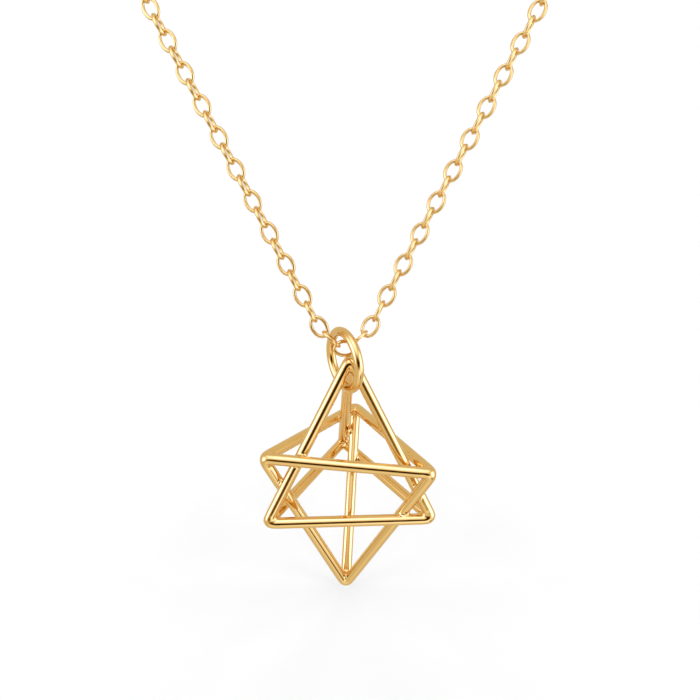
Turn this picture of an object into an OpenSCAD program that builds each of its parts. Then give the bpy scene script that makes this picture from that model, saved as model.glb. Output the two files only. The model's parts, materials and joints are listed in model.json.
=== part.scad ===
// Merkaba pendant on a cable chain.
// Two wire tetrahedra, one upright and one upside down, are soldered together
// where their slanted wires cross. A thick jump ring carries them on a closed
// loop of small oval links. Millimetres, +Z up, the pendant's front towards -Y.
// The origin is the middle of the clasp, where the loop rests on the nape.

/* [Pendant] */
// Edge of each tetrahedron, along the middle of the wire
edge = 19; // [16:0.5:24]
// Thickness of the pendant's wire
wire_d = 1.3; // [1.2:0.05:1.4]
// Height of the upright tetrahedron, as a share of the edge
upright_height = 0.967; // [0.95:0.001:0.985]
// Height of the upside-down tetrahedron, as a share of the edge
inverted_height = 1.025; // [1.01:0.001:1.04]
// Height of the upper triangle above the lower one, as a share of the edge
triangle_step = 0.352; // [0.345:0.001:0.36]
// Turn of the upright tetrahedron about the vertical, in degrees
upright_turn = 3.3; // [2.9:0.1:3.7]
// Turn of the upside-down tetrahedron about the vertical, in degrees
inverted_turn = -3.7; // [-4.1:0.1:-3.3]
// Sideways lean of the upright tetrahedron as it hangs, in degrees
upright_lean = 0.55; // [0.2:0.05:0.9]
// Sideways lean of the upside-down tetrahedron, in degrees
inverted_lean = 4.05; // [3.7:0.05:4.4]
// Nod of the upright tetrahedron's tip towards the viewer, in degrees
upright_nod = 2.2; // [1.8:0.1:2.6]
// The same for the upside-down tetrahedron, whose upper triangle tips back
inverted_nod = -5.1; // [-5.5:0.1:-4.7]
// Place of the upside-down tetrahedron: across and towards the back
inverted_shift = [0, -0.13];
// Place of the top tip off the middle of its triangle: across and towards the back
top_tip = [0.17, -0.36];
// The same for the bottom tip
bottom_tip = [0.76, 0.28];
// Length rounded off where three wires would meet in the top tip
top_trim = 1.1; // [0.9:0.05:1.15]
// Length rounded off where three wires would meet in the bottom tip
bottom_trim = 0.45; // [0.3:0.05:0.8]

/* [Jump ring] */
// Diameter of the ring along the middle of its wire
ring_d = 6.5; // [6.4:0.1:7.2]
// Thickness of the ring's wire
ring_wire = 1.05; // [0.9:0.05:1.1]
// Direction of the ring's flat, in degrees from +X
ring_turn = 119; // [117:1:121]
// Drop from the sharp top of the upright tetrahedron to the ring's lowest wire
ring_drop = 3.5; // [3.4:0.05:3.7]
// Sideways place of the ring from the sharp top: across and towards the back
ring_shift = [-0.62, 0.13];
// Distance along the ring from its top to where it rests on the chain
ring_rest = -0.1; // [-0.3:0.1:0]

/* [Chain] */
// Length of a link, outside
link_l = 2.74; // [2.7:0.01:3]
// Width of a link, outside
link_w = 2; // [1.9:0.05:2.2]
// Thickness of the chain's wire
link_wire = 0.35; // [0.3:0.01:0.37]
// Gap between a link and the one it hooks into
link_gap = 0.125; // [0.12:0.005:0.15]
// Links on each side of the lowest one
side_links = 115; // [100:1:120]
// Angle of each leg of the chain from the vertical, seen square on
leg_angle = 27.75; // [24:0.25:32]
// Rise of the first links beside the lowest one, in degrees
first_rises = [42, 58];
// Turn of the lowest links towards the ring's middle line, in degrees
pass_yaw = 12; // [8:1:12]
// Roll of the links about the chain's length once clear of the ring, in degrees
link_roll = 15; // [0:1:20]
// Number of links over which that roll builds up from the lowest one
roll_links = 6; // [4:1:20]

/* [Drape] */
// Lean of the front of the loop away from the viewer, in degrees
front_lean = 21; // [15:1:30]
// Lean of the nape part of the loop, in degrees from the vertical
nape_lean = 80; // [60:1:85]
// Height of the flat front before the loop starts to roll back
front_rise = 52; // [40:1:60]
// Radius of the roll from the front to the nape
roll_radius = 60; // [50:1:80]

/* [Clasp] */
// Diameter of the clasp along the middle of its tube
clasp_d = 5; // [4.5:0.1:6]
// Thickness of the clasp's tube
clasp_tube = 1; // [0.9:0.05:1.05]
// Diameter of the clasp's small eye along the middle of its wire
eye_d = 1.9; // [1.8:0.1:2.2]
// Thickness of the eye's wire
eye_wire = 0.5; // [0.4:0.05:0.55]

/* [Hidden] */
GOLD = [0.88, 0.7, 0.38];

// Pendant: corners in the pendant's own frame, the lower triangle at z = 0
corner_r = edge / sqrt(3);
function nod(p, angle) = [
    p[0],
    cos(angle) * p[1] - sin(angle) * p[2],
    sin(angle) * p[1] + cos(angle) * p[2]
];
function lean(p, angle) = [
    cos(angle) * p[0] + sin(angle) * p[2],
    p[1],
    -sin(angle) * p[0] + cos(angle) * p[2]
];
function placed(p, lean_by, nod_by, z0, shift) =
    lean(nod(p - [0, 0, z0], nod_by), lean_by) + [shift[0], shift[1], z0];
function corners(z, tip_z, turn, lean_by, nod_by, z0, shift, tip) = concat(
    [for (a = [210, 330, 90])
        let(c = [corner_r * cos(a + turn), corner_r * sin(a + turn), z])
            placed(c, lean_by, nod_by, z0, shift)],
    [placed([0, 0, tip_z], lean_by, nod_by, z0, shift + tip)]
);
upright = corners(
    0,
    edge * upright_height,
    upright_turn,
    upright_lean,
    upright_nod,
    edge * 0.3,
    [0, 0],
    top_tip
);
inverted = corners(
    edge * triangle_step,
    edge * (triangle_step - inverted_height),
    inverted_turn,
    inverted_lean,
    inverted_nod,
    edge * 0.1,
    inverted_shift,
    bottom_tip
);

// Jump ring: its middle in the pendant's frame
ring_low = upright[3] + [ring_shift[0], ring_shift[1], -ring_drop];
ring_mid = ring_low + [0, 0, ring_d / 2];

pitch = link_l - 2 * link_wire - link_gap;

// Clasp: a ring with a small eye on its left, a chain end through each. The
// eye's outer edge sinks a little into the ring's tube
clasp_reach = (clasp_d + clasp_tube) / 2;
eye_reach = clasp_reach + eye_d / 2 - eye_wire / 4;
right_hook = clasp_reach - clasp_tube - link_wire / 2 - link_gap;
left_hook = eye_reach + eye_d / 2 - eye_wire / 2 - link_wire / 2 - link_gap;
end_inset = (link_l - link_wire - pitch) / 2;
clasp_half = (right_hook + left_hook) / 2 + end_inset;
clasp_shift = (left_hook - right_hook) / 2;

// Chain: places as [across, up, behind] the sheet that the loop lies in. Near
// the lowest link it bends at the middles of the rounded ends of links 0 and 2
function heading(rise, yaw) = [cos(rise) * cos(yaw), sin(rise), cos(rise) * sin(yaw)];
leg_rise = 90 - leg_angle;
side = link_l - link_w;
hook = (pitch - side) / 2;
heading_0 = heading(0, pass_yaw);
heading_1 = heading(first_rises[0], pass_yaw);
heading_2 = heading(first_rises[1], pass_yaw / 2);
bend_1 = side / 2 * heading_0;
bend_2 = bend_1 + (pitch + 2 * hook) * heading_1;
bend_3 = bend_2 + side * heading_2;

// Above them come a straight leg and a round nape that it runs into
half_left = (side_links - 2) * pitch + hook + clasp_half;
arc_share = (180 - leg_rise) * PI / 180;
nape_r = (bend_3[0] + half_left * cos(leg_rise)) / (sin(leg_rise) + arc_share * cos(leg_rise));
leg_length = half_left - nape_r * arc_share;
arc_mid = bend_3[1] + leg_length * sin(leg_rise) + nape_r * cos(leg_rise);
function along(d) = d < leg_length
    ? bend_3 + d * heading(leg_rise, 0) - [0, 0, d / leg_length * bend_3[2]]
    : let(a = leg_rise + (d - leg_length) / nape_r * 180 / PI)
        [nape_r * sin(a), arc_mid - nape_r * cos(a), 0];
function right_ends(k) =
    k == 0 ? [-pitch / 2 * heading_0, pitch / 2 * heading_0]
    : k == 1 ? [bend_1 + hook * heading_1, bend_2 - hook * heading_1]
    : k == 2 ? [bend_2 - hook * heading_2, bend_3 + hook * heading_2]
    : [along((k - 3) * pitch + hook), along((k - 2) * pitch + hook)];
function turned(p) = [-p[0], p[1], -p[2]];
function link_ends(k) = k >= 0
    ? right_ends(k)
    : let(e = right_ends(-k)) [turned(e[1]), turned(e[0])];

// The sheet leans back, rolls over and lies nearly level at the nape
roll_length = roll_radius * (nape_lean - front_lean) * PI / 180;
function sheet_lean(v) =
    front_lean + (nape_lean - front_lean) * min(1, max(0, (v - front_rise) / roll_length));
function sheet_yz(v) =
    let(a = sheet_lean(v), flat = min(v, front_rise), rest = max(0, v - front_rise - roll_length))
        [
            flat * sin(front_lean) + roll_radius * (cos(front_lean) - cos(a)) + rest * sin(a),
            flat * cos(front_lean) + roll_radius * (sin(a) - sin(front_lean)) + rest * cos(a)
        ];
function sheet_normal(v) = [0, -cos(sheet_lean(v)), sin(sheet_lean(v))];
function sheet(p) = let(yz = sheet_yz(p[1])) [p[0], yz[0], yz[1]] - p[2] * sheet_normal(p[1]);

// The origin is at the nape, so the lowest link lies this far from it
nape_v = arc_mid + nape_r;
nape = sheet([0, nape_v, 0]);
lowest = -nape;

// Place of the pendant's frame: the ring's top wire rests on the lowest link
rest_gap = 0.25;
hang_rise = (link_w + ring_wire) / 2 + rest_gap;
pendant_at = lowest + [-ring_mid[0], -ring_mid[1], hang_rise - ring_mid[2] - ring_d / 2]
    - ring_rest * [cos(ring_turn), sin(ring_turn), 0];

module wire(a, b, d) {
    v = b - a;
    translate(a)
        rotate([0, acos(v[2] / norm(v)), atan2(v[1], v[0])])
            cylinder(h = norm(v), d = d, $fn = 24);
}

module wire_ring(d, thickness) {
    rotate_extrude($fn = 64)
        translate([d / 2, 0])
            circle(d = thickness, $fn = 20);
}

// The point of a wire that lies closest to another wire
function near_point(a, b, c, d) =
    let(u = b - a, v = d - c, w = a - c)
    let(uu = u * u, uv = u * v, vv = v * v)
        a + u * ((uv * (v * w) - vv * (u * w)) / (uu * vv - uv * uv));

// Six wires, with a ball where three of them meet. The tip is rounded off short.
module tetrahedron(c, trim) {
    ball = wire_d * 1.03;
    tip = [for (i = [0:2]) c[3] + trim / norm(c[i] - c[3]) * (c[i] - c[3])];
    for (i = [0:2]) {
        wire(c[i], c[(i + 1) % 3], wire_d);
        wire(c[i], tip[i], wire_d);
        translate(c[i]) sphere(d = ball, $fn = 32);
        translate(tip[i]) sphere(d = ball, $fn = 32);
    }
    translate((tip[0] + tip[1] + tip[2]) / 3) sphere(d = ball * 1.04, $fn = 32);
}

module merkaba_frame() {
    color(GOLD) translate(pendant_at) {
        tetrahedron(upright, top_trim);
        tetrahedron(inverted, bottom_trim);
        // Solder where each slanted wire passes its partner
        for (i = [0:2]) {
            p = near_point(upright[3], upright[i], inverted[3], inverted[i]);
            q = near_point(inverted[3], inverted[i], upright[3], upright[i]);
            wire(p, q, wire_d * 0.9);
        }
    }
}

module jump_ring() {
    color(GOLD)
        translate(pendant_at + ring_mid)
            rotate([90, 0, ring_turn])
                wire_ring(ring_d, ring_wire);
}

// One link about its own middle: long along X, wide along Y
module link() {
    end_r = (link_w - link_wire) / 2;
    for (turn = [0, 180]) rotate([0, 0, turn]) {
        translate([side / 2, 0, 0])
            rotate([0, 0, -90])
                rotate_extrude(angle = 180, $fn = 32)
                    translate([end_r, 0])
                        circle(d = link_wire, $fn = 16);
        translate([-side / 2, end_r, 0])
            rotate([0, 90, 0])
                cylinder(h = side, d = link_wire, $fn = 16);
    }
}

// Link 0 is the lowest, and those on its left count down
module placed_link(k) {
    ends = link_ends(k);
    a = sheet(ends[0]);
    b = sheet(ends[1]);
    x = (b - a) / norm(b - a);
    across = cross(sheet_normal((ends[0][1] + ends[1][1]) / 2), x);
    s = across / norm(across);
    n = cross(x, s);
    roll = (k % 2 == 0 ? 0 : 90) - link_roll * max(-1, min(1, k / roll_links));
    y = cos(roll) * s + sin(roll) * n;
    z = cross(x, y);
    m = lowest + (a + b) / 2;
    multmatrix([
        [x[0], y[0], z[0], m[0]],
        [x[1], y[1], z[1], m[1]],
        [x[2], y[2], z[2], m[2]]
    ]) link();
}

module chain_left() {
    color(GOLD) for (k = [-side_links:-1]) placed_link(k);
}

module chain_right() {
    color(GOLD) for (k = [0:side_links]) placed_link(k);
}

// A plain ring with a small eye on its left, lying in the sheet at the nape
module clasp() {
    color(GOLD) rotate([90 - nape_lean, 0, 0]) {
        translate([clasp_shift, 0, 0]) wire_ring(clasp_d, clasp_tube);
        translate([clasp_shift - clasp_reach - eye_d / 2 + eye_wire / 4, 0, 0])
            wire_ring(eye_d, eye_wire);
    }
}

merkaba_frame();
jump_ring();
chain_left();
chain_right();
clasp();
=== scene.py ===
# %% [markdown]
# # A merkaba pendant on a fine cable chain
#
# The object is all metal: two tetrahedra bent up from round wire and soldered
# into one star, a thick jump ring, and a closed loop of small oval links. The
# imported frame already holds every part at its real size. This script gives
# each part the smooth, polished surface that the plain construction lacks.

import bpy
import json
import math
import numpy as np
from mathutils import Matrix, Vector


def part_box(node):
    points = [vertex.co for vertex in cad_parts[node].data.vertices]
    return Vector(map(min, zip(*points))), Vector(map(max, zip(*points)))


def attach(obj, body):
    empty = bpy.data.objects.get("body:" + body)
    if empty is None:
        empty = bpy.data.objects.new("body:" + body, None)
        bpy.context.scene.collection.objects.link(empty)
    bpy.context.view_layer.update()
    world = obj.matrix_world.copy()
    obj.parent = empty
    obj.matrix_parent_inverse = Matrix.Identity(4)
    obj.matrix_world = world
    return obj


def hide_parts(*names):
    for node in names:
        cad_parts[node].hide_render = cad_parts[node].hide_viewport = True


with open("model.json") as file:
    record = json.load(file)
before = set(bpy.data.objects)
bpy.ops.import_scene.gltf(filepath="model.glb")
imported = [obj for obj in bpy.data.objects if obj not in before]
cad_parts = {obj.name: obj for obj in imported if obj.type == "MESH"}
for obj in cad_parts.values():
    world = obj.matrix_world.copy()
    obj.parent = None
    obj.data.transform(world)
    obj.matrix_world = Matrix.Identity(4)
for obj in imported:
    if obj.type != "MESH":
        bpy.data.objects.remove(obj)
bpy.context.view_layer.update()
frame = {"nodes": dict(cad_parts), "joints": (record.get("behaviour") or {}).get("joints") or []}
MM = 0.001

# %% [markdown]
# ## Where the pendant hangs
#
# The pendant's own sizes are counted from the middle of its lower triangle.
# The joint between jump ring and pendant is a point that both the frame and
# the drawing know, so it carries those sizes over into the frame.

# %% The pendant's place
PIVOT_IN_PENDANT = Vector((-0.1656, -0.6262, 15.2631)) * MM
joints = {joint["name"]: joint for joint in frame["joints"]}
pendant_at = Vector(joints["pendant_swings_on_ring"]["pos_m"]) - PIVOT_IN_PENDANT
print("Pendant at, mm:", [round(v / MM, 2) for v in pendant_at])

# %% [markdown]
# ## The camera
#
# The photograph looks slightly down on the pendant, from about a hand's
# breadth away. The camera aims a little right of the pendant's middle line,
# near the ring, and its lens is given by the spread of the picture: 850 pixels
# of distance for the 700 pixels of width.

# %% Camera
SENSOR_WIDTH = 36.0
PICTURE_WIDTH = 700
PICTURE_DISTANCE = 850
AIM_IN_PENDANT = Vector((0.269, 0.435, 18.81)) * MM
CAMERA_DISTANCE = 94.75 * MM
CAMERA_ELEVATION = math.radians(25.02)

aim = pendant_at + AIM_IN_PENDANT
towards_camera = Vector((0, -math.cos(CAMERA_ELEVATION), math.sin(CAMERA_ELEVATION)))
camera_data = bpy.data.cameras.new("camera")
camera_data.sensor_width = SENSOR_WIDTH
camera_data.lens = SENSOR_WIDTH * PICTURE_DISTANCE / PICTURE_WIDTH
camera_data.clip_start = 0.005
camera = bpy.data.objects.new("camera", camera_data)
camera.location = aim + towards_camera * CAMERA_DISTANCE
camera.rotation_euler = (-towards_camera).to_track_quat("-Z", "Y").to_euler()
bpy.context.scene.collection.objects.link(camera)
bpy.context.scene.camera = camera
print(f"Lens {camera_data.lens:.1f} mm, {CAMERA_DISTANCE / MM:.0f} mm away")

# %% [markdown]
# ## Helpers for shapes
#
# Every operator of Blender acts on what is selected, and the frame comes in
# selected. So each step starts from a clean selection. A finished piece has
# its place in its mesh, and its object stays at the origin.

# %% Shape helpers
def select_only(*objects):
    bpy.ops.object.select_all(action="DESELECT")
    for item in objects:
        item.select_set(True)
    bpy.context.view_layer.objects.active = objects[0]


def join(name, objects):
    select_only(*objects)
    bpy.ops.object.join()
    joined = bpy.context.object
    joined.name = name
    bpy.ops.object.transform_apply(location=True, rotation=True, scale=True)
    return joined


def apply_modifier(item, kind, **settings):
    select_only(item)
    modifier = item.modifiers.new(kind.lower(), kind)
    for key, value in settings.items():
        setattr(modifier, key, value)
    bpy.ops.object.modifier_apply(modifier=modifier.name)


def count(item):
    item.data.calc_loop_triangles()
    print(f"{item.name}: {len(item.data.loop_triangles)} triangles")


bpy.ops.object.select_all(action="DESELECT")

# %% [markdown]
# ## The two tetrahedra
#
# On the real pendant each tetrahedron is bent from 1.3 mm wire. Three wires
# meet in each corner, where the solder and the polishing wheel have left a
# smooth round bend. One tetrahedron stands up and the other hangs upside down in
# it. It is handwork, so they lean a little, and differ a little in height.
#
# Wires can be swept along curves, but then they only push through each other.
# Here they are laid out as cylinders with balls along the bends, and a voxel
# remesh casts all of them into one skin. Smoothing this skin leaves the soft
# hollow that solder makes where two wires meet.

# %% Corners of the tetrahedra
EDGE = 19.0 * MM
WIRE = 1.3 * MM
UPRIGHT_HEIGHT = 0.967 * EDGE
INVERTED_HEIGHT = 1.025 * EDGE
TRIANGLE_STEP = 0.352 * EDGE
UPRIGHT_TURN, UPRIGHT_LEAN, UPRIGHT_NOD = (math.radians(a) for a in (3.3, 0.55, 2.2))
INVERTED_TURN, INVERTED_LEAN, INVERTED_NOD = (math.radians(a) for a in (-3.7, 4.05, -5.1))
INVERTED_SHIFT = Vector((0, -0.13, 0)) * MM
TOP_TIP_OFFSET = Vector((0.17, -0.36, 0)) * MM
BOTTOM_TIP_OFFSET = Vector((0.76, 0.28, 0)) * MM
UPRIGHT_LEANS_ABOUT = 0.3 * EDGE
INVERTED_LEANS_ABOUT = 0.1 * EDGE
TRIANGLE_CORNERS = [math.radians(a) for a in (210, 330, 90)]


def corners(triangle_z, tip_z, turn, lean, nod, lean_z):
    """Three corners of the triangle and then the tip, nodding and leaning about the height lean_z."""
    radius = EDGE / math.sqrt(3)
    points = [Vector((radius * math.cos(a + turn), radius * math.sin(a + turn), triangle_z))
              for a in TRIANGLE_CORNERS]
    points.append(Vector((0, 0, tip_z)))
    middle = Vector((0, 0, lean_z))
    tilt = Matrix.Rotation(lean, 3, "Y") @ Matrix.Rotation(nod, 3, "X")
    return [tilt @ (p - middle) + middle + pendant_at for p in points]


upright = corners(0, UPRIGHT_HEIGHT, UPRIGHT_TURN, UPRIGHT_LEAN, UPRIGHT_NOD,
                  UPRIGHT_LEANS_ABOUT)
inverted = [p + INVERTED_SHIFT for p in corners(
    TRIANGLE_STEP, TRIANGLE_STEP - INVERTED_HEIGHT, INVERTED_TURN, INVERTED_LEAN, INVERTED_NOD,
    INVERTED_LEANS_ABOUT)]
upright[3] += TOP_TIP_OFFSET
inverted[3] += BOTTOM_TIP_OFFSET
print("Top and bottom tip, mm:", [[round(v / MM, 2) for v in p[3]] for p in (upright, inverted)])

# %% Wires and bends
CORNER_BEND = 0.95 * MM
TOP_BEND = 1.1 * MM
BOTTOM_BEND = 1.05 * MM
BALLS_PER_BEND = 9
SIDES = 48


def wire(start, end, thickness=WIRE):
    along = end - start
    bpy.ops.mesh.primitive_cylinder_add(
        vertices=SIDES, radius=thickness / 2, depth=along.length, location=(start + end) / 2,
        rotation=along.to_track_quat("Z", "Y").to_euler())
    return bpy.context.object


def ball(middle):
    bpy.ops.mesh.primitive_uv_sphere_add(
        segments=SIDES, ring_count=SIDES // 2, radius=WIRE / 2, location=middle)
    return bpy.context.object


def bend(start, corner, end):
    """Balls along a smooth curve that leaves one wire's end and runs into the other's."""
    steps = [i / (BALLS_PER_BEND - 1) for i in range(BALLS_PER_BEND)]
    return [ball(start * (1 - t) ** 2 + corner * 2 * t * (1 - t) + end * t ** 2) for t in steps]


wire_axes = []


def tetrahedron(points, tip_bend):
    pieces = []
    bends = [CORNER_BEND, CORNER_BEND, CORNER_BEND, tip_bend]
    for i, corner in enumerate(points):
        ends = [corner + (other - corner).normalized() * bends[i] for other in points if other is not corner]
        for j in range(3):
            pieces += bend(ends[j], corner, ends[(j + 1) % 3])
        for j in range(i + 1, 4):
            along = (points[j] - corner).normalized()
            wire_axes.append((corner + along * bends[i], points[j] - along * bends[j]))
            pieces.append(wire(*wire_axes[-1]))
    return pieces


star_pieces = tetrahedron(upright, TOP_BEND) + tetrahedron(inverted, BOTTOM_BEND)
print(len(star_pieces), "wires and balls")

# %% [markdown]
# Each slanted wire of one tetrahedron passes its partner of the other a wire's
# thickness away. A short bridge of solder fills that small gap, from the
# middle of one wire to the middle of the other.

# %% Solder bridges
BRIDGE = 0.9 * WIRE


def nearest_points(a, b, c, d):
    """The two points where the lines a-b and c-d come closest."""
    u, v, w = b - a, d - c, a - c
    spread = u.dot(u) * v.dot(v) - u.dot(v) ** 2
    s = (u.dot(v) * v.dot(w) - v.dot(v) * u.dot(w)) / spread
    t = (u.dot(u) * v.dot(w) - u.dot(v) * u.dot(w)) / spread
    return a + u * s, c + v * t


for i in range(3):
    near = nearest_points(upright[3], upright[i], inverted[3], inverted[i])
    star_pieces.append(wire(*near, thickness=BRIDGE))
    print(f"Wires {i} pass {(near[0] - near[1]).length / MM:.2f} mm apart")

# %% Cast the star in one skin
VOXEL = 0.12 * MM
SMOOTHING = 0.5
SMOOTHING_PASSES = 10

star = join("merkaba_star", star_pieces)
apply_modifier(star, "REMESH", mode="VOXEL", voxel_size=VOXEL, use_smooth_shade=True)
apply_modifier(star, "SMOOTH", factor=SMOOTHING, iterations=SMOOTHING_PASSES)
count(star)

# %% [markdown]
# A voxel skin is a little uneven, and a mirror shows it. So the plain stretch
# of each wire is trued up again: every point there moves to the wire's exact
# radius. Near a bend or a crossing the skin keeps its own soft shape.

# %% True up the wires
# The trueing sets in over these distances, from the next wire's surface and from a bend.
CROSSING_FADE = (0.2 * MM, 0.6 * MM)
BEND_FADE = 0.5 * MM


def fade(values, start, end):
    share = np.clip((values - start) / (end - start), 0, 1)
    return share * share * (3 - 2 * share)


def true_up(item, axes, radius):
    """Moves the points of each wire's plain stretch to its radius, and returns their share."""
    places = np.empty(len(item.data.vertices) * 3)
    item.data.vertices.foreach_get("co", places)
    places = places.reshape(-1, 3)
    feet, distances, shares = [], [], []
    for start, end in axes:
        length = (end - start).length
        start, along = np.array(start), np.array((end - start).normalized())
        way = np.clip((places - start) @ along, 0, length)
        foot = start + way[:, None] * along
        feet.append(foot)
        distances.append(np.linalg.norm(places - foot, axis=1))
        shares.append(fade(np.minimum(way, length - way), 0, BEND_FADE))
    feet, distances, shares = np.array(feet), np.array(distances), np.array(shares)
    own = distances.argmin(axis=0)
    points = np.arange(len(places))
    second = np.sort(distances, axis=0)[1] - radius
    share = (shares[own, points] * fade(second, *CROSSING_FADE))[:, None]
    outwards = (places - feet[own, points]) / distances[own, points][:, None]
    trued = feet[own, points] + outwards * radius
    item.data.vertices.foreach_set("co", (places * (1 - share) + trued * share).ravel())
    item.data.update()
    return share.mean()


print(f"{100 * true_up(star, wire_axes, WIRE / 2):.0f} percent of the skin is trued up")

# %% [markdown]
# ## The jump ring
#
# A jump ring is a coil of thick wire cut off and closed. A circle of the
# wire's section, spun once round the ring's middle, gives it. Its place comes
# from the frame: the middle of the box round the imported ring.

# %% Jump ring
RING_DIAMETER = 6.5 * MM
RING_WIRE = 1.05 * MM
RING_TURN = math.radians(119)


def wire_ring(name, middle, axis, diameter, thickness, around, section):
    """A ring of round wire about an axis: its section is spun in edit mode."""
    axis = axis.normalized()
    out = axis.orthogonal().normalized()
    side = axis.cross(out)
    bpy.ops.mesh.primitive_circle_add(
        vertices=section, radius=thickness / 2, location=middle + out * diameter / 2,
        rotation=Matrix((out, axis, out.cross(axis))).transposed().to_euler())
    ring = bpy.context.object
    ring.name = name
    bpy.ops.object.mode_set(mode="EDIT")
    bpy.ops.mesh.select_all(action="SELECT")
    bpy.ops.mesh.spin(steps=around, angle=2 * math.pi, center=middle, axis=axis)
    bpy.ops.mesh.select_all(action="SELECT")
    bpy.ops.mesh.remove_doubles(threshold=thickness * 0.01)
    bpy.ops.mesh.normals_make_consistent(inside=False)
    bpy.ops.object.mode_set(mode="OBJECT")
    bpy.ops.object.transform_apply(location=True, rotation=True, scale=True)
    bpy.ops.object.shade_smooth()
    return ring


def box_middle(node):
    low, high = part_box(node)
    return (Vector(low) + Vector(high)) / 2


ring_axis = Vector((-math.sin(RING_TURN), math.cos(RING_TURN), 0))
jump_ring = wire_ring("round_jump_ring", box_middle("jump_ring"), ring_axis,
                      RING_DIAMETER, RING_WIRE, around=128, section=40)
count(jump_ring)

# %% [markdown]
# ## The cable chain
#
# The chain has 231 links, soldered shut and slightly oval. Each one hangs in
# its neighbours, turned by a quarter. The frame's links already lie where the
# real ones do, so each of them is asked for its middle and for its long and
# broad direction, and one modelled link is copied there. The links in the
# photograph are true ovals of a slightly thicker wire. The frame's are thinner
# so that they stay loose solids, each a little apart from the next.

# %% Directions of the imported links
def loose_parts(node):
    """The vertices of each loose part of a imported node, as arrays in metres."""
    copy = frame["nodes"][node].copy()
    copy.data = copy.data.copy()
    bpy.context.scene.collection.objects.link(copy)
    copy.parent = None
    select_only(copy)
    bpy.ops.object.mode_set(mode="EDIT")
    bpy.ops.mesh.select_all(action="SELECT")
    bpy.ops.mesh.remove_doubles(threshold=0.001 * MM)
    bpy.ops.mesh.separate(type="LOOSE")
    bpy.ops.object.mode_set(mode="OBJECT")
    parts = list(bpy.context.selected_objects)
    clouds = []
    for part in parts:
        places = np.empty(len(part.data.vertices) * 3)
        part.data.vertices.foreach_get("co", places)
        clouds.append(places.reshape(-1, 3))
    for part in parts:
        bpy.data.meshes.remove(part.data)
    return clouds


def middle_and_axes(cloud):
    """A link's middle, and its long, broad and thin direction as the columns of a matrix."""
    low, high = cloud.min(axis=0), cloud.max(axis=0)
    middle = cloud.mean(axis=0)
    for _ in range(2):
        spread, axes = np.linalg.eigh(np.cov((cloud - middle).T))
        local = (cloud - middle) @ axes
        middle = middle + axes @ (local.min(axis=0) + local.max(axis=0)) / 2
    axes = axes[:, ::-1]
    if np.linalg.det(axes) < 0:
        axes[:, 2] = -axes[:, 2]
    return middle, axes


links = {}
for node in ("chain_left", "chain_right"):
    links[node] = [middle_and_axes(cloud) for cloud in loose_parts(node)]
    print(node, "has", len(links[node]), "links")

# %% One oval link
LINK_LENGTH = 2.75 * MM
LINK_WIDTH = 1.99 * MM
LINK_WIRE = 0.41 * MM
LINK_SIDES = 16
LINK_SECTION = 6


def oval_link():
    """An oval ring of wire about Z. A round ring is stretched, and its wire made round again."""
    bpy.ops.mesh.primitive_torus_add(
        major_segments=LINK_SIDES, minor_segments=LINK_SECTION,
        major_radius=1, minor_radius=LINK_WIRE / LINK_WIDTH)
    link = bpy.context.object
    half_length = (LINK_LENGTH - LINK_WIRE) / 2
    half_width = (LINK_WIDTH - LINK_WIRE) / 2
    for vertex in link.data.vertices:
        place = vertex.co
        turn = math.atan2(place.y, place.x)
        on_wire = Vector((half_length * math.cos(turn), half_width * math.sin(turn), 0))
        outwards = Vector((half_width * math.cos(turn), half_length * math.sin(turn), 0)).normalized()
        outwards_part = math.hypot(place.x, place.y) - 1
        section = Vector((outwards_part, place.z)).normalized() * LINK_WIRE / 2
        vertex.co = on_wire + outwards * section.x + Vector((0, 0, section.y))
    bpy.ops.object.shade_smooth()
    return link


model_link = oval_link()
print("One link has", len(model_link.data.polygons), "faces")

# %% String the links
def string_of_links(name, places):
    copies = []
    for middle, axes in places:
        copy = model_link.copy()
        copy.data = model_link.data.copy()
        bpy.context.scene.collection.objects.link(copy)
        turned = Matrix([list(row) for row in axes]).to_4x4()
        copy.data.transform(Matrix.Translation(Vector(middle)) @ turned)
        copies.append(copy)
    return join(name, copies)


chain_left = string_of_links("oval_links_left", links["chain_left"])
chain_right = string_of_links("oval_links_right", links["chain_right"])
bpy.data.meshes.remove(model_link.data)
for chain in (chain_left, chain_right):
    count(chain)

# %% [markdown]
# ## The clasp
#
# The clasp is out of the picture, at the nape. It is one plain piece: a closed
# ring, and on its left a small eye for the last link of the other side.

# %% Clasp
CLASP_DIAMETER = 5.0 * MM
CLASP_TUBE = 1.0 * MM
EYE_DIAMETER = 1.9 * MM
EYE_WIRE = 0.5 * MM
CLASP_SLOPE = math.radians(10)

clasp_axis = Vector((0, -math.sin(CLASP_SLOPE), math.cos(CLASP_SLOPE)))
clasp_low, clasp_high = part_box("clasp")
ring_middle = Vector((clasp_high[0] - (CLASP_DIAMETER + CLASP_TUBE) / 2, 0, 0))
eye_middle = Vector((clasp_low[0] + (EYE_DIAMETER + EYE_WIRE) / 2, 0, 0))
clasp_ring = wire_ring("clasp_ring", ring_middle, clasp_axis, CLASP_DIAMETER, CLASP_TUBE, 96, 32)
clasp_eye = wire_ring("clasp_eye", eye_middle, clasp_axis, EYE_DIAMETER, EYE_WIRE, 64, 20)
clasp = join("plain_clasp", [clasp_ring, clasp_eye])
count(clasp)

# %% [markdown]
# ## Gold
#
# The metal is brass under a polished yellow gold plate. Gold has no colour of
# its own beneath the surface: it tints what it mirrors, so its base colour is
# the tint of a highlight seen head on. A polished surface is never quite even.
# The wheel leaves hair-fine scratches a few hundredths of a millimetre apart
# and a slow swell along the wire, and both are drawn here, the scratches as a
# change in roughness and the swell as a shallow bump.

# %% Material helpers
def linear(colour):
    """A colour such as #F0C270, from sRGB to the linear values that shaders use."""
    parts = [int(colour[i:i + 2], 16) / 255 for i in (1, 3, 5)]
    return [p / 12.92 if p <= 0.04045 else ((p + 0.055) / 1.055) ** 2.4 for p in parts] + [1.0]


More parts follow.
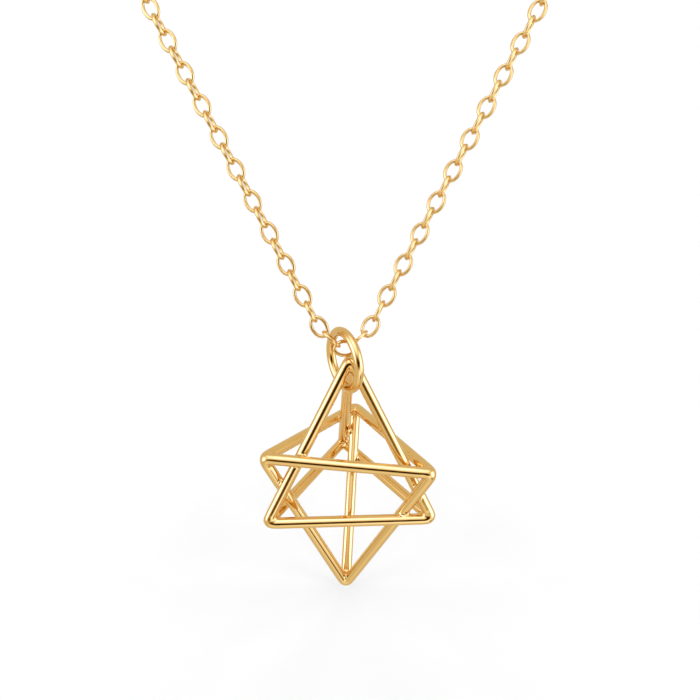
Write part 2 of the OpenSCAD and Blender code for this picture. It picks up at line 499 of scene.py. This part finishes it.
def socket(sockets, name):
    """The socket of that name which is in use. Mix and Map Range hide others of the same name."""
    return next(s for s in sockets if s.enabled and s.name == name)


def add_node(tree, kind, values={}, links={}, **settings):
    """Adds a node with its settings, the values of its inputs, and the outputs that feed them."""
    node = tree.nodes.new(kind)
    for key, value in settings.items():
        setattr(node, key, value)
    for name, value in values.items():
        socket(node.inputs, name).default_value = value
    for name, output in links.items():
        tree.links.new(socket(node.inputs, name), output)
    return node


# %% Polished gold
def polished_gold(name, colour, roughness, scratch_spacing, swell_spacing, swell_depth):
    material = bpy.data.materials.new(name)
    material.use_nodes = True
    tree = material.node_tree
    tree.nodes.clear()
    place = add_node(tree, "ShaderNodeTexCoord").outputs["Object"]
    scratches = add_node(tree, "ShaderNodeTexNoise", links={"Vector": place},
                         values={"Scale": 1 / scratch_spacing, "Detail": 3.0})
    swell = add_node(tree, "ShaderNodeTexNoise", links={"Vector": place},
                     values={"Scale": 1 / swell_spacing, "Detail": 1.0})
    gloss = add_node(tree, "ShaderNodeMapRange", links={"Value": scratches.outputs["Fac"]},
                     values={"From Min": 0.35, "From Max": 0.75,
                             "To Min": roughness * 0.7, "To Max": roughness * 1.5})
    paler = linear(colour)
    deeper = [0.96 * v for v in paler[:3]] + [1.0]
    tint = add_node(tree, "ShaderNodeMix", data_type="RGBA", values={"A": paler, "B": deeper},
                    links={"Factor": swell.outputs["Fac"]})
    bump = add_node(tree, "ShaderNodeBump", links={"Height": swell.outputs["Fac"]},
                    values={"Strength": 1.0, "Distance": swell_depth})
    gold = add_node(tree, "ShaderNodeBsdfPrincipled", values={"Metallic": 1.0},
                    links={"Base Color": socket(tint.outputs, "Result"),
                           "Roughness": gloss.outputs["Result"],
                           "Normal": bump.outputs["Normal"]})
    add_node(tree, "ShaderNodeOutputMaterial", links={"Surface": gold.outputs["BSDF"]})
    return material


star_gold = polished_gold("polished_gold_wire", "#EFC882", 0.07, 0.05 * MM, 2.0 * MM, 0.004 * MM)
ring_gold = polished_gold("polished_gold_ring", "#EFC882", 0.10, 0.05 * MM, 2.0 * MM, 0.004 * MM)
chain_gold = polished_gold("tumbled_gold_links", "#EFC882", 0.10, 0.04 * MM, 0.8 * MM, 0.002 * MM)

# %% Give each piece its metal, its body and its place in the frame
fittings = [
    # piece, its metal, the body that it rides on, and the node that it replaces
    (star, star_gold, "pendant", "merkaba_frame"),
    (jump_ring, ring_gold, "ring", "jump_ring"),
    (chain_left, chain_gold, "necklace", "chain_left"),
    (chain_right, chain_gold, "necklace", "chain_right"),
    (clasp, ring_gold, "necklace", "clasp"),
]
for piece, metal, body, node in fittings:
    piece.data.materials.clear()
    piece.data.materials.append(metal)
    frame["nodes"][node].data.materials.clear()
    frame["nodes"][node].data.materials.append(metal)
    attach(piece, body)
    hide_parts(node)
    print(piece.name, "replaces", node)

# %% [markdown]
# ## Floor and light
#
# The pendant's tip hangs just above a white table. The table glows a little by
# itself, so that it melts into the white behind it. A ring of broad, distant
# lamps lights it evenly from all sides, which leaves one small soft shadow
# close under the tip. The metal doesn't mirror the table or these lamps: what
# it mirrors comes next.

# %% Floor and lamps
FLOOR_GAP = 0.25 * MM
FLOOR_SIZE = 6.0
FLOOR_GLOW = 0.375
LAMPS = 8
LAMP_ELEVATION = 35
LAMP_BREADTH = math.radians(28)
LAMP_STRENGTH = 1.25

floor_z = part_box("merkaba_frame")[0][2] - FLOOR_GAP
bpy.ops.object.select_all(action="DESELECT")
bpy.ops.mesh.primitive_plane_add(size=FLOOR_SIZE, location=(0, 0, floor_z))
floor = bpy.context.object
floor.name = "floor"
table = bpy.data.materials.new("matt_white_table")
table.use_nodes = True
table_shader = table.node_tree.nodes["Principled BSDF"]
for setting, value in {"Base Color": linear("#A2A2A2"), "Roughness": 1.0, "Specular IOR Level": 0.0,
                       "Emission Color": (1, 1, 1, 1), "Emission Strength": FLOOR_GLOW}.items():
    table_shader.inputs[setting].default_value = value
floor.data.materials.append(table)
floor.visible_glossy = False
for piece, metal, body, node in fittings:
    piece.visible_diffuse = False


def towards(azimuth, elevation):
    """The direction so many degrees to the right of the front and above the horizon."""
    azimuth, elevation = math.radians(azimuth), math.radians(elevation)
    flat = math.cos(elevation)
    return Vector((math.sin(azimuth) * flat, -math.cos(azimuth) * flat, math.sin(elevation)))


for i in range(LAMPS):
    lamp_data = bpy.data.lights.new(f"distant lamp {i + 1}", "SUN")
    lamp_data.angle = LAMP_BREADTH
    lamp_data.energy = LAMP_STRENGTH
    lamp = bpy.data.objects.new(lamp_data.name, lamp_data)
    lamp.rotation_euler = towards(360 * i / LAMPS, LAMP_ELEVATION).to_track_quat("Z", "Y").to_euler()
    lamp.visible_glossy = False
    bpy.context.scene.collection.objects.link(lamp)
print(LAMPS, "lamps round the table")

# %% [markdown]
# Polished metal shows nothing but what stands round it, so the studio is
# drawn for its mirror images. The world shader can tell a mirrored ray from
# the others, and only mirrored rays see this room. Each light in it is a soft
# round patch in some direction. Directions are given as degrees to the right
# of the front and degrees above the horizon. The dark parts of a room are
# warm and its lights are cool, so green and blue fall off faster in the dark.

# %% The room that the metal mirrors
ROOM_BRIGHTNESS = 0.77
GREEN_POWER = 1.28
BLUE_POWER = 2.0
LIGHTS = {
    # name: (to the right, up, radius of its even middle, radius where it ends, brightness)
    "soft box overhead": (0, 70, 2, 48, 0.74),
    "bulb in the soft box": (0, 70, 3, 12, 0.4),
    "soft box on the left": (-68, 15, 8, 34, 1.25),
    "soft box on the right": (70, 6, 8, 38, 1.2),
    "bounce card low on the right": (30, -20, 8, 34, 0.5),
    "light pool on the table": (0, -40, 8, 38, 0.2),
}
SHADES = {
    # name: (to the right, up, half width, half height, brightness)
    "dark space round the lens": (-1, 6, 30, 17, 0.01),
    "foot of the tripod": (40, -39, 9, 9, 0.12),
}
EDGE_SOFTNESS = 0.65

# %% The world of mirrored rays
world = bpy.data.worlds.new("studio")
bpy.context.scene.world = world
world.cycles_visibility.diffuse = False
world.use_nodes = True
sky = world.node_tree
sky.nodes.clear()
direction = add_node(sky, "ShaderNodeTexCoord").outputs["Generated"]


def ramp(value, start, end, low, high):
    """Goes smoothly from low to high as the value goes from start to end."""
    return add_node(sky, "ShaderNodeMapRange", interpolation_type="SMOOTHSTEP", links={"Value": value},
                    values={"From Min": start, "From Max": end, "To Min": low, "To Max": high}
                    ).outputs["Result"]


def combine(operation, *inputs):
    node = add_node(sky, "ShaderNodeMath", operation=operation)
    for place, given in enumerate(inputs):
        if isinstance(given, float):
            node.inputs[place].default_value = given
        else:
            sky.links.new(node.inputs[place], given)
    return node.outputs["Value"]


def share_along(vector):
    """How much of a ray's direction lies along the vector."""
    node = add_node(sky, "ShaderNodeVectorMath", operation="DOT_PRODUCT")
    sky.links.new(node.inputs[0], direction)
    node.inputs[1].default_value = vector
    return node.outputs["Value"]


def light(azimuth, elevation, inner, outer, brightness):
    return ramp(share_along(towards(azimuth, elevation)), math.cos(math.radians(outer)),
                math.cos(math.radians(inner)), 0.0, brightness)


def shade(azimuth, elevation, half_width, half_height, brightness):
    """A dark ellipse with a soft edge, in front. It is half dark on the ellipse itself."""
    across = combine("DIVIDE", share_along(towards(azimuth + 90, 0)), math.sin(math.radians(half_width)))
    up = combine("DIVIDE", share_along(towards(azimuth, elevation + 90)),
                 math.sin(math.radians(half_height)))
    reach = combine("SQRT", combine("ADD", combine("MULTIPLY", across, across),
                                    combine("MULTIPLY", up, up)))
    dark_ellipse = ramp(reach, 1 - EDGE_SOFTNESS, 1 + EDGE_SOFTNESS, brightness, 1.0)
    behind = ramp(share_along(towards(azimuth, elevation)), 0.2, 0.0, 0.0, 1.0)
    return combine("MAXIMUM", dark_ellipse, behind)


room = ROOM_BRIGHTNESS
for name, place in LIGHTS.items():
    room = combine("ADD", room, light(*place))
    print("Light:", name)
for name, place in SHADES.items():
    room = combine("MULTIPLY", room, shade(*place))
    print("Shade:", name)
shades = add_node(sky, "ShaderNodeCombineColor", links={
    "Red": room, "Green": combine("POWER", room, GREEN_POWER), "Blue": combine("POWER", room, BLUE_POWER)})
mirrored = add_node(sky, "ShaderNodeBackground", links={"Color": shades.outputs["Color"]})
plain = add_node(sky, "ShaderNodeBackground", values={"Color": (1, 1, 1, 1)})
glossy = add_node(sky, "ShaderNodeLightPath").outputs["Is Glossy Ray"]
either = add_node(sky, "ShaderNodeMixShader", links={"Fac": glossy})
sky.links.new(either.inputs[1], plain.outputs["Background"])
sky.links.new(either.inputs[2], mirrored.outputs["Background"])
add_node(sky, "ShaderNodeOutputWorld", links={"Surface": either.outputs["Shader"]})
bpy.context.scene.view_settings.view_transform = "Standard"
bpy.context.scene.view_settings.look = "None"
